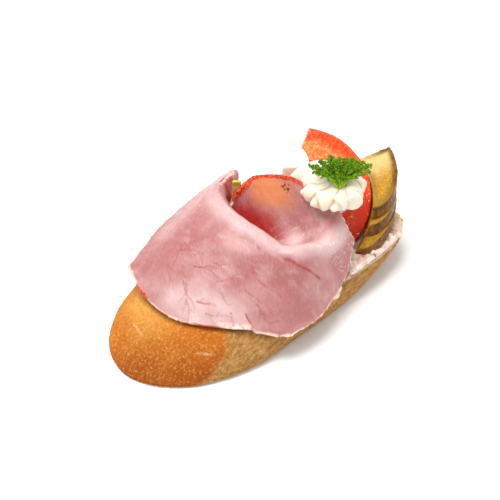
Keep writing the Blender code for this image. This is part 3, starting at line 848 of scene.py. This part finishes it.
class SANDWICH_OT_ham(bpy.types.Operator):
    """Build the folded slice of ham"""
    bl_idname = "sandwich.ham"
    bl_label = "Ham slice"

    def execute(self, context):
        props = context.scene.sandwich_ham
        piece = remade("folded_ham", "ham_slice", ham_finish(props), "ham", 0.42, rounding=2)
        rim = rim_tree("ham_slice")
        back_rim = 31.0

        def rim_gap(place):
            return rim.find(place)[2] + 0.35 * grain(place, 2.5)

        def rind(place, normal):
            width = props.rind_width / MM
            back = smooth(8.0, 11.0, place.x) * smooth(back_rim, back_rim + 2, place.z)
            back *= window(place.y, -9.0, -6.0, 18.5, 20.0)
            back *= smooth(width + 0.4, width - 0.3, rim_gap(place))
            front = window(place.x, -40, -38.5, -34.5, -33.0) * smooth(-8, -10, place.y)
            left = window(place.y, 10, 12, 19, 22) * smooth(-38, -40, place.x)
            return max(back, max(front, left) * smooth(1.1, 0.6, rim_gap(place)))

        def rim_share(place, normal):
            gap = rim_gap(place)
            # Painted highlight on the flap left of the slit, in the fat's colour.
            flap = window(place.x, -35, -33, -25.1, -24.6) * smooth(-16, -19, place.y)
            return max(smooth(1.1, 0.4, gap), flap * smooth(3.0, 1.2, gap))

        # Painted shade deep in the fold's hollow and along its far end.
        def deep(place, normal):
            gap = (Vector(place) - Vector((6.5, 4.0, 24.0)))
            reach = math.sqrt(gap.x ** 2 + (0.62 * gap.y) ** 2 + (0.9 * gap.z) ** 2)
            inside = smooth(-0.5, 1.2, place.x - crest_x(place.y))
            far = off_line(place, (10.7, 19.9, 28.8), (14.2, 24.6, 37.0))
            share = max(smooth(16.5, 4.5, reach + 1.5 * grain(place, 6.0)),
                        0.95 * smooth(6.0, 3.0, far))
            return 0.97 * inside * share * smooth(-18, -8, place.y)

        # Painted glow, as of light coming through the back wall near the rind.
        def warm(place, normal):
            gap = Vector(place) - Vector((19.5, 5.0, 38.5))
            reach = math.sqrt(gap.x ** 2 + (0.6 * gap.y) ** 2 + gap.z ** 2)
            share = smooth(10.5, 3.0, reach + 2.0 * grain(place, 4.0))
            return 0.85 * share * smooth(10, 13, place.x)

        # Painted highlights along the crest's lip, the saddle's ridge, the front and the fold's
        # end.
        def pale(place, normal):
            before = crest_x(place.y) - place.x
            lip = window(before, -4.5, -2.5, 0.5, 6.0) * smooth(30, 35, place.z)
            lip *= smooth(24, 6, place.y) * 0.5 + 0.5
            saddle = smooth(6.0, 1.0, abs(place.y - ridge_y(place.x))) * smooth(-2, 5, place.x)
            saddle *= smooth(26, 31, place.z)
            gap = Vector(place) - Vector((-34.0, -12.0, 18.5))
            front = smooth(17, 5, math.sqrt(gap.x ** 2 + (0.55 * gap.y) ** 2 + (1.6 * gap.z) ** 2))
            front *= 0.8 + 0.35 * grain(place, 5.0)
            fold_end = smooth(8.0, 2.0, (Vector(place) - Vector((11.0, -14.0, 27.0))).length)
            return min(1.0, max(0.62 * lip, 0.65 * saddle, 0.85 * front, 0.7 * fold_end))

        # Painted shade: darker meat round the listed spots.
        def dark(place, normal):
            share = 0.0
            for middle, size in DARK_SPOTS:
                reach = (place - Vector(middle)).length + 2.0 * grain(place, 6.0)
                share = max(share, smooth(size, 0.2 * size, reach))
            return 0.75 * share

        def fibres(place, normal):
            share = smooth(3.0, 7.0, place.x - crest_x(place.y))
            return share * smooth(-2, -8, place.y) * smooth(34, 29, place.z)

        # Painted sparkling highlight along the saddle's ridge.
        def gleam(place, normal):
            line = smooth(0.9, 0.2, abs(place.y - ridge_y(place.x) + 0.5 * grain(place, 3.0)))
            return 0.9 * line * window(place.x, 4, 9, 22, 27) * smooth(0.5, 0.7, normal.z)

        def streak(place, normal):
            share = 0.0
            for start, end in STREAKS:
                gap = off_line(place.xy, start, end) + 0.25 * grain(place, 1.2)
                share = max(share, smooth(0.55, 0.2, gap) * (0.75 + 0.5 * grain(place, 2.0)))
            return share * smooth(0.0, 0.3, normal.z)

        def scorch(place, normal):
            gap = (Vector(place) - Vector((21.8, -0.7, 41.1))).length
            spots = smooth(0.15, 0.5, grain(place, 0.9, 3.0) - 0.22 * gap + 0.45)
            return spots * smooth(3.2, 1.8, gap)

        lines, strengths = vein_tree(props.veins)

        def veined(place, normal):
            _, index, gap = lines.find(Vector((place.x, place.y, 0.0)))
            share = smooth(0.50, 0.12, gap) * strengths[index]
            return share * smooth(0.0, 0.3, normal.z) * smooth(34, 30, place.z)

        masks = (("rind", rind), ("rim", rim_share), ("deep", deep), ("warm", warm), ("pale", pale),
                 ("dark", dark), ("fibres", fibres), ("gleam", gleam), ("streak", streak),
                 ("scorch", scorch), ("veined", veined))
        for name, share in masks:
            mask(piece, name, share)

        def height(place, normal):
            soft = 0.28 * grain(place, 9.0, 2.0) + 0.10 * grain(place, 3.0, 6.0)
            jag = 0.5 * grain(place, 1.4, 4.0) + 0.9 * min(0.0, grain(place, 4.5, 1.0))
            return soft - 0.1 + jag * smooth(1.2, 0.3, rim.find(place)[2])

        roughen(piece, height)
        for vertex in piece.data.vertices:
            place = vertex.co / MM
            vertex.co.z -= 0.45 * MM * smooth(20, 15.5, place.z) * smooth(-10, -24, place.x)
            off = place.x - crest_x(place.y)
            near = window(off, -9, -5, 7, 12) * smooth(11, 5, abs(off)) * smooth(29, 35, place.z)
            vertex.co.x += props.lip * near * window(place.y, -22, -8, 10, 24)
            slit = window(place.x, -25.0, -24.4, -20, -14) * smooth(-24.5, -27.0, place.y)
            vertex.co.z -= props.slit * slit * smooth(20.5, 17.5, place.z)
        return {"FINISHED"}


def vein_tree(count):
    """Fine branching veins on the front of the ham: their places and how strong each is."""
    rng = random.Random(21)
    places, strengths = [], []

    def grow(place, heading, reach, strength):
        gone = 0.0
        while gone < reach:
            places.append(place)
            strengths.append(strength * (0.4 + 0.6 * (1 - gone / reach)))
            heading += rng.gauss(0, 0.11)
            place = place + Vector((math.cos(heading), math.sin(heading), 0.0)) * 0.25
            gone += 0.25
            if strength > 0.55 and rng.random() < 0.06:
                turn = rng.choice((-1, 1)) * rng.uniform(0.4, 0.9)
                grow(place, heading + turn, reach * rng.uniform(0.25, 0.5), 0.7 * strength)

    for _ in range(count):
        start = Vector((rng.uniform(-37, -9), rng.uniform(-27, 14), 0.0))
        grow(start, -math.pi / 2 + rng.gauss(0.1, 0.5), rng.uniform(4, 13), rng.uniform(0.5, 0.95))
    return search_tree(places), strengths


def crest_x(y):
    """Place of the fold's crest along X, for a place along Y, in millimetres."""
    return -7.7 + 0.0145 * (y - 1) ** 2 + 0.0016 * max(0, y - 7) ** 3


def ridge_y(x):
    """Place of the saddle's ridge along Y, for a place along X, in millimetres."""
    return -29.5 + 0.018 * (x - 22) ** 2


def rim_tree(node):
    """Search tree over the sharp rim of a thin node."""
    shape = bmesh.new()
    shape.from_mesh(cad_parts[node].data)
    bmesh.ops.remove_doubles(shape, verts=shape.verts, dist=1e-6)
    sharp = [e for e in shape.edges if e.is_manifold and e.calc_face_angle() > math.radians(55)]
    points = []
    for edge in sharp:
        first, last = (vertex.co / MM for vertex in edge.verts)
        steps = max(1, round((last - first).length / 0.5))
        points += [first.lerp(last, i / steps) for i in range(steps + 1)]
    shape.free()
    return search_tree(points)


class SANDWICH_OT_tomato(bpy.types.Operator):
    """Build the half slice of tomato"""
    bl_idname = "sandwich.tomato"
    bl_label = "Tomato slice"

    def execute(self, context):
        props = context.scene.sandwich_tomato
        finish = tomato_finish(props)
        piece = remade("tomato_half_slice", "tomato_slice", finish, "tomato", 0.4, rounding=3)
        centre, rise, out = tomato_frame()
        radius = max(reach_in_plane(place, centre, out) for place in node_points("tomato_slice"))

        def skin(place, normal):
            return smooth(radius - 0.55, radius - 0.15, reach_in_plane(place, centre, out))

        def wall(place, normal):
            reach = reach_in_plane(place, centre, out) + 0.9 * grain(place, 4.0)
            return smooth(radius - props.wall / MM - 1.5, radius - props.wall / MM + 1.5, reach)

        def ring(place, normal):
            reach = reach_in_plane(place, centre, out) + 0.8 * grain(place, 2.5)
            return smooth(1.0, 0.3, abs(reach - 15.5))

        # Painted shade: deeper red towards the bottom of the slice.
        def low(place, normal):
            return 0.8 * smooth(6.0, -4.0, (Vector(place) - centre).dot(rise))

        def glint(place, normal):
            return 0.15 + 0.85 * smooth(6.0, 0.0, (Vector(place) - centre).dot(rise))

        for name, share in (("skin", skin), ("wall", wall), ("ring", ring), ("low", low),
                            ("glint", glint)):
            mask(piece, name, share)

        def height(place, normal):
            return 0.22 * grain(place, 2.4, 3.0) + 0.1 * grain(place, 0.9, 5.0) - 0.1

        roughen(piece, height)
        return {"FINISHED"}


def tomato_frame():
    """Centre of the tomato slice's front face, its rising direction and its front."""
    return TOMATO_CENTRE, along(0.0, TOMATO_LEAN), slice_front(TOMATO_LEAN)


def slice_front(lean):
    """Front direction of a slice that leans back by some degrees."""
    tip = math.radians(lean)
    return -AWAY * math.cos(tip) + Vector((0, 0, math.sin(tip)))


def reach_in_plane(place, centre, out):
    """Distance from an axis through the centre along out."""
    gap = Vector(place) - centre
    return (gap - out * gap.dot(out)).length


class SANDWICH_OT_egg(bpy.types.Operator):
    """Build the egg slice, the upright piece of egg and the small strip"""
    bl_idname = "sandwich.egg"
    bl_label = "Egg and strip"

    def execute(self, context):
        props = context.scene.sandwich_egg
        finish = egg_finish(props)
        for node, rounding in (("egg_slice", 6), ("egg_piece", 24)):
            piece = remade(f"boiled_{node}", node, finish, "egg", 0.4, rounding)
            roughen(piece, lambda place, normal: 0.12 * grain(place, 3.5, 2.0) - 0.06)
        slice_low, slice_high = (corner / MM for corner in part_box("egg_slice"))
        middle = (slice_low + slice_high) / 2
        for vertex in bpy.data.objects["boiled_egg_slice"].data.vertices:
            gap = vertex.co / MM - middle
            under = smooth(1.0, -7.0, gap.z) * smooth(-2.0, 6.0, gap.dot(ACROSS))
            vertex.co -= ACROSS * gap.dot(ACROSS) * props.tuck * under * MM
        finish = cheese_finish(props)
        strip = remade("strip_behind_fold", "cheese_strip", finish, "cheese", 0.25, rounding=3)
        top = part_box("cheese_strip")[1].z / MM

        def upper(place, normal):
            return smooth(top - 2.2, top - 1.2, place.z + 0.5 * grain(place, 1.5))

        mask(strip, "top", upper)
        return {"FINISHED"}


class SANDWICH_OT_gherkins(bpy.types.Operator):
    """Build the fan of gherkin slices"""
    bl_idname = "sandwich.gherkins"
    bl_label = "Gherkin fan"

    def execute(self, context):
        props = context.scene.sandwich_gherkin
        finish = gherkin_finish(props)
        for index in (1, 2, 3):
            node = f"gherkin_slice_{index}"
            piece = remade(f"gherkin_{index}", node, finish, "gherkin", 0.4, rounding=2)
            paint_gherkin(piece, node)
        reach_out(piece, props.reach / MM)
        return {"FINISHED"}


def reach_out(piece, reach):
    """Draw the lower left part of the lowest slice out over the salad, in millimetres."""
    places = [vertex.co / MM for vertex in piece.data.vertices]
    middle = sum(places, Vector()) / len(places)
    rise = along(0.0, GHERKIN_LEAN)
    for vertex, place in zip(piece.data.vertices, places):
        gap = place - middle
        share = smooth(2.0, -8.0, gap.dot(rise)) * smooth(7.0, -5.0, gap.dot(ACROSS))
        vertex.co -= AWAY * reach * share * MM


def paint_gherkin(piece, node):
    """Mark skin and cut faces of a slice, and give it a slightly bumpy skin."""
    slope = slice_front(GHERKIN_LEAN)
    low, high = (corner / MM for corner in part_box(node))
    middle = (low + high) / 2
    rise = along(0.0, GHERKIN_LEAN)
    rim = rim_tree(node)
    first = 0.8 if node.endswith("1") else 0.2

    def side(place, normal):
        return smooth(0.72, 0.55, abs(normal.dot(slope))) * smooth(0.75, 0.45, -normal.dot(ACROSS))

    def edge(place):
        return rim.find(place)[2] + 0.3 * grain(place, 2.0)

    def skin(place, normal):
        gap = Vector(place) - middle
        right = smooth(-4, 6, gap.dot(ACROSS)) * smooth(-9, -2, gap.dot(rise))
        return max(side(place, normal), 0.85 * right * smooth(2.5, 1.3, edge(place)))

    def green(place, normal):
        right = 0.25 + 0.75 * smooth(-6, 6, (Vector(place) - middle).dot(ACROSS))
        return first * right * smooth(3.6, 1.4, edge(place))

    def core(place, normal):
        gap = Vector(place) - middle
        reach = gap.dot(rise) - 0.7 * gap.dot(ACROSS) + 2 * grain(place, 4.0)
        return 0.9 * smooth(-5.0, 8.0, reach)

    for name, share in (("skin", skin), ("green", green), ("core", core)):
        mask(piece, name, share)
    roughen(piece, lambda place, normal: 0.16 * grain(place, 2.0, 8.0) - 0.08)


class SANDWICH_OT_cream(bpy.types.Operator):
    """Pipe the cream rosette"""
    bl_idname = "sandwich.cream"
    bl_label = "Cream rosette"

    def execute(self, context):
        props = context.scene.sandwich_cream
        centre, radius, foot, height = rosette_size()
        thick = props.rope * radius
        rng = random.Random(4)
        fullness = (1.0, 1.30, 1.15, 1.0, 1.0, 1.0, 1.0, 1.05)
        blunt = (0.15, 0.60, 0.50, 0.30, 0.30, 0.30, 0.15, 0.08)
        shape = bmesh.new()
        heap = ((0.04, 0.62), (0.3, 0.60), (0.6, 0.42), (0.85, 0.2))
        tube(shape, [centre + Vector((0, 0, foot + height * share)) for share, _ in heap],
             [width * radius for _, width in heap])
        for k in range(props.ropes):
            front = math.cos(2 * math.pi * k / props.ropes)
            start = 2 * math.pi * (k + rng.uniform(-0.12, 0.12)) / props.ropes - 0.75 * math.pi
            long = radius * (rng.uniform(0.96, 1.02) + 0.02 * front)
            fat = thick * rng.uniform(0.94, 1.06) * fullness[k % len(fullness)]
            tip = blunt[k % len(blunt)]
            path, sizes = [], []
            for i in range(17):
                share = i / 16
                turn = start + props.swirl * share ** 1.3
                reach = long - 0.55 * fat * smooth(0, 0.2, share)
                reach *= math.cos(share * math.pi / 2) ** 0.8
                size = fat * (1 - 0.5 * share) * (tip + (1 - tip) * smooth(-0.04, 0.32, share))
                rise = foot + 0.8 * fat
                rise += (height - 1.3 * fat) * math.sin(share * math.pi / 2) ** 1.5
                path.append(centre + Vector((reach * math.cos(turn), reach * math.sin(turn), rise)))
                sizes.append(size)
            tube(shape, path, sizes)
        mesh = mesh_of(shape, "piped_rosette")
        piece = add_piece("piped_rosette", mesh, cream_finish(props), "cream", "cream_rosette")
        evened(piece, 0.3, 16)
        # Painted shade: how far each point lies in a fold, near and broad.
        near, wide = hollowness(piece, 12), hollowness(piece, 60)
        fold = []
        for fine, broad in zip(near, wide):
            fold.append(min(1.0, 0.45 * smooth(0.0, 0.12, fine) + 0.7 * smooth(-0.1, 0.45, broad)))
        store(piece, "fold", fold)
        return {"FINISHED"}


def rosette_size():
    """Middle, radius, foot and height of the rosette's node, in millimetres."""
    low, high = (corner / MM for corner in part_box("cream_rosette"))
    return ROSETTE_CENTRE, ROSETTE_RADIUS, low.z, high.z - low.z


def tube(shape, path, sizes, around=14):
    """Add a closed round bar along a path, with a radius at each of its points."""
    rings = []
    side = Vector((0.31, 0.17, 0.93))
    for i, (place, size) in enumerate(zip(path, sizes)):
        ahead = (path[min(i + 1, len(path) - 1)] - path[max(i - 1, 0)]).normalized()
        side = (side - ahead * side.dot(ahead)).normalized()
        up = ahead.cross(side)
        ring = []
        for k in range(around):
            turn = 2 * math.pi * k / around
            out = side * math.cos(turn) + up * math.sin(turn)
            ring.append(shape.verts.new((place + out * size) * MM))
        rings.append(ring)
    for first, second in zip(rings, rings[1:]):
        for k in range(around):
            j = (k + 1) % around
            shape.faces.new((first[k], first[j], second[j], second[k]))
    shape.faces.new(rings[0][::-1])
    shape.faces.new(rings[-1])


class SANDWICH_OT_parsley(bpy.types.Operator):
    """Grow the sprig of curly parsley"""
    bl_idname = "sandwich.parsley"
    bl_label = "Parsley"

    def execute(self, context):
        props = context.scene.sandwich_parsley
        foot = min(node_points("parsley_sprig"), key=lambda place: place.z)
        sprig = Sprig(random.Random(11))
        layers = ((props.stems, 1.0, 22.0, 0.0), (props.stems - 2, 0.86, 10.0, -1.0),
                  (props.stems - 1, 0.94, 34.0, 1.2))
        for count, reach, lean, behind in layers:
            for i in range(count):
                share = 2 * (i + sprig.rng.uniform(-0.15, 0.15)) / (count - 1) - 1
                tall = props.height / MM * reach * (1 + 0.26 * abs(share))
                tall *= sprig.rng.uniform(0.86, 1.0)
                sprig.stem(Vector(foot) + AWAY * behind * 0.5, props.spread * share, lean, tall)
        mesh = bpy.data.meshes.new("parsley_leaves")
        sprig.shape.to_mesh(mesh)
        sprig.shape.free()
        piece = add_piece("parsley_leaves", mesh, parsley_finish(props), "parsley", "parsley_sprig")
        store(piece, "rib", sprig.ribs)
        store(piece, "tone", sprig.tones)
        thick = piece.modifiers.new("thickness", "SOLIDIFY")
        thick.thickness = props.thickness
        thick.offset = 0.0
        settle(piece)
        return {"FINISHED"}


class Sprig:
    """A sprig of parsley as it grows: its mesh, and how bright and how dark each point is."""

    def __init__(self, rng):
        self.rng = rng
        self.shape = bmesh.new()
        self.ribs = []
        self.tones = []

    def blade(self, spine, side, front, widths, rib, tone):
        """A strip folded along its spine."""
        rows = []
        for point, width in zip(spine, widths):
            row = []
            for across, value in ((-1, 0.0), (0, rib), (1, 0.0)):
                place = point + side * width * across - front * 0.5 * width * (1 - abs(across))
                row.append(self.shape.verts.new(place * MM))
                self.ribs.append(value)
                self.tones.append(tone)
            rows.append(row)
        for first, second in zip(rows, rows[1:]):
            for i in (0, 1):
                self.shape.faces.new((first[i], first[i + 1], second[i + 1], second[i]))

    def leaflet(self, base, angle, lean, size, tone):
        """A narrow leaflet with a forked tip."""
        front = slice_front(lean)
        grow = (along(angle, lean) + front * self.rng.uniform(-0.35, 0.45)).normalized()
        side = grow.cross(front).normalized()
        spine = [base + grow * size * part + front * 0.3 * part * part
                 for part in (0, 0.35, 0.7, 1.0)]
        self.blade(spine, side, front, [0.16, 0.27, 0.32, 0.12], 0.7, tone)
        for turn in (-0.55, 0.0, 0.55):
            tip = (grow * math.cos(turn) + side * math.sin(turn)).normalized()
            start = spine[2] + side * 0.18 * turn
            tooth = [start + tip * 0.42 * size * part for part in (0, 0.5, 1.0)]
            self.blade(tooth, tip.cross(front).normalized(), front, [0.17, 0.25, 0.05], 0.1,
                       min(1, tone + 0.3))

    def stem(self, foot, end, lean, tall):
        """A stem that bends outwards, with leaflets on both sides of its outer part."""
        front = slice_front(lean)
        steps = 12
        spine, angles = [foot], []
        for i in range(steps):
            angle = end * (0.22 + 0.95 * i / steps)
            angles.append(angle)
            swell = front * 0.10 * math.sin(5 * i / steps + end * 4)
            spine.append(spine[-1] + along(angle, lean) * tall / steps + swell)
        side = along(end * 0.6 + math.pi / 2, lean)
        widths = [0.36 - 0.016 * i for i in range(steps + 1)]
        self.blade(spine, side, front, widths, 1.0, self.rng.uniform(0.0, 0.3))
        for i in range(5, steps + 1):
            for way in (-1, 1):
                size = self.rng.uniform(2.3, 3.5) * (1.2 - 0.045 * i)
                turn = way * self.rng.uniform(0.12, 0.36)
                tone = self.rng.uniform(0.0, 0.8)
                self.leaflet(spine[i], angles[min(i, steps - 1)] + turn, lean, size, tone)
        self.leaflet(spine[-1], angles[-1], lean, 1.8, 0.4)


class SANDWICH_OT_stage(bpy.types.Operator):
    """Set the floor, soft lights and camera"""
    bl_idname = "sandwich.stage"
    bl_label = "Stage"

    def execute(self, context):
        props = context.scene.sandwich_stage
        mesh = bpy.data.meshes.new("floor")
        edge = FLOOR_HALF
        mesh.from_pydata([(-edge, -edge, 0), (edge, -edge, 0), (edge, edge, 0), (-edge, edge, 0)],
                         [], [(0, 1, 2, 3)])
        floor = bpy.data.objects.new("floor", mesh)
        context.scene.collection.objects.link(floor)
        paint = Paint("studio floor", 0.9)
        mesh.materials.append(paint.finish(props.floor))
        for lamp in LAMPS:
            add_light(*lamp)
        world = bpy.data.worlds.new("studio")
        context.scene.world = world
        world.use_nodes = True
        world.node_tree.nodes["Background"].inputs["Color"].default_value = (1, 1, 1, 1)
        world.node_tree.nodes["Background"].inputs["Strength"].default_value = SKY
        context.scene.view_settings.view_transform = "Standard"
        add_camera(props)
        return {"FINISHED"}


def add_light(name, place, size, power):
    """A square soft light that points at the sandwich."""
    lamp = bpy.data.lights.new(name, "AREA")
    lamp.size = size
    lamp.energy = power
    made = bpy.data.objects.new(name, lamp)
    made.location = place
    made.rotation_euler = (Vector((0, 0, 0.02)) - Vector(place)).to_track_quat("-Z", "Y").to_euler()
    bpy.context.scene.collection.objects.link(made)


def add_camera(props):
    """The camera on its line of sight to the middle of the sandwich."""
    target = CAMERA_TARGET * MM
    back = Vector((math.sin(props.azimuth) * math.cos(props.elevation),
                   -math.cos(props.azimuth) * math.cos(props.elevation),
                   math.sin(props.elevation)))
    lens = bpy.data.cameras.new("camera")
    lens.lens = props.lens
    lens.sensor_width = 36.0
    made = bpy.data.objects.new("camera", lens)
    made.location = target + back * props.distance
    made.rotation_euler = (-back).to_track_quat("-Z", "Y").to_euler()
    bpy.context.scene.collection.objects.link(made)
    bpy.context.scene.camera = made


# Sidebar and registration ----------------------------------------------------------


STEPS = (SANDWICH_OT_bread, SANDWICH_OT_salad, SANDWICH_OT_salad_bits, SANDWICH_OT_ham,
         SANDWICH_OT_tomato, SANDWICH_OT_egg, SANDWICH_OT_gherkins, SANDWICH_OT_cream,
         SANDWICH_OT_parsley, SANDWICH_OT_stage)
SETTINGS = {
    "sandwich_bread": BreadSettings,
    "sandwich_salad": SaladSettings,
    "sandwich_ham": HamSettings,
    "sandwich_tomato": TomatoSettings,
    "sandwich_egg": EggSettings,
    "sandwich_gherkin": GherkinSettings,
    "sandwich_cream": CreamSettings,
    "sandwich_parsley": ParsleySettings,
    "sandwich_stage": StageSettings,
}


class SANDWICH_PT_panel(bpy.types.Panel):
    """Buttons and settings of the sandwich"""
    bl_idname = "SANDWICH_PT_panel"
    bl_label = "Open sandwich"
    bl_space_type = "VIEW_3D"
    bl_region_type = "UI"
    bl_category = "Sandwich"

    def draw(self, context):
        for step in STEPS:
            self.layout.operator(step.bl_idname)
        for key, group in SETTINGS.items():
            box = self.layout.box()
            box.label(text=group.__doc__)
            for name in group.__annotations__:
                box.prop(getattr(context.scene, key), name)


def register():
    """Add the settings, operators and panel."""
    for item in (*SETTINGS.values(), *STEPS, SANDWICH_PT_panel):
        bpy.utils.register_class(item)
    for key, group in SETTINGS.items():
        setattr(bpy.types.Scene, key, PointerProperty(type=group))


def unregister():
    """Take them away again."""
    for key in SETTINGS:
        delattr(bpy.types.Scene, key)
    for item in (*SETTINGS.values(), *STEPS, SANDWICH_PT_panel):
        bpy.utils.unregister_class(item)


def main():
    """Build everything in order."""
    register()
    for step in STEPS:
        group, name = step.bl_idname.split(".")
        getattr(getattr(bpy.ops, group), name)()


if __name__ == "__main__":
    main()
